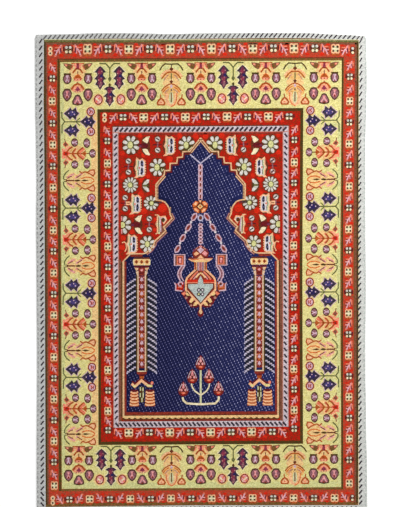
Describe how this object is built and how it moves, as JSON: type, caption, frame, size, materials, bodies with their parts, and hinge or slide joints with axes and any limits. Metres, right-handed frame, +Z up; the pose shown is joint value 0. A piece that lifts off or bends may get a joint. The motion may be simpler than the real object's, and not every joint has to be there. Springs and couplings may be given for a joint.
{
  "type": "prayer rug",
  "caption": "Flat woven prayer rug with a pointed niche, hanging lamp, flower borders and narrow striped guards; it lies flat on a floor.",
  "frame": {"origin": "middle of the underside, on the floor", "axes": "+X to the right, +Y along the length towards the head end where the niche points, +Z up out of the face of the cloth"},
  "size_m": [0.7562, 1.0962, 0.003],
  "materials": {
    "cloth": "woven wool, matt",
    "red_yarn": "woven wool, matt",
    "yellow_yarn": "woven wool, matt",
    "navy_yarn": "satin woven wool",
    "olive_yarn": "woven wool, matt",
    "cream_yarn": "woven wool, matt",
    "white_yarn": "woven wool, matt",
    "orange_yarn": "woven wool, matt",
    "pink_yarn": "woven wool, matt",
    "plum_yarn": "woven wool, matt",
    "selvedge_yarn": "overcast cotton, matt"
  },
  "bodies": {
    "root": {"rug": "cloth"}
  },
  "joints": []
}
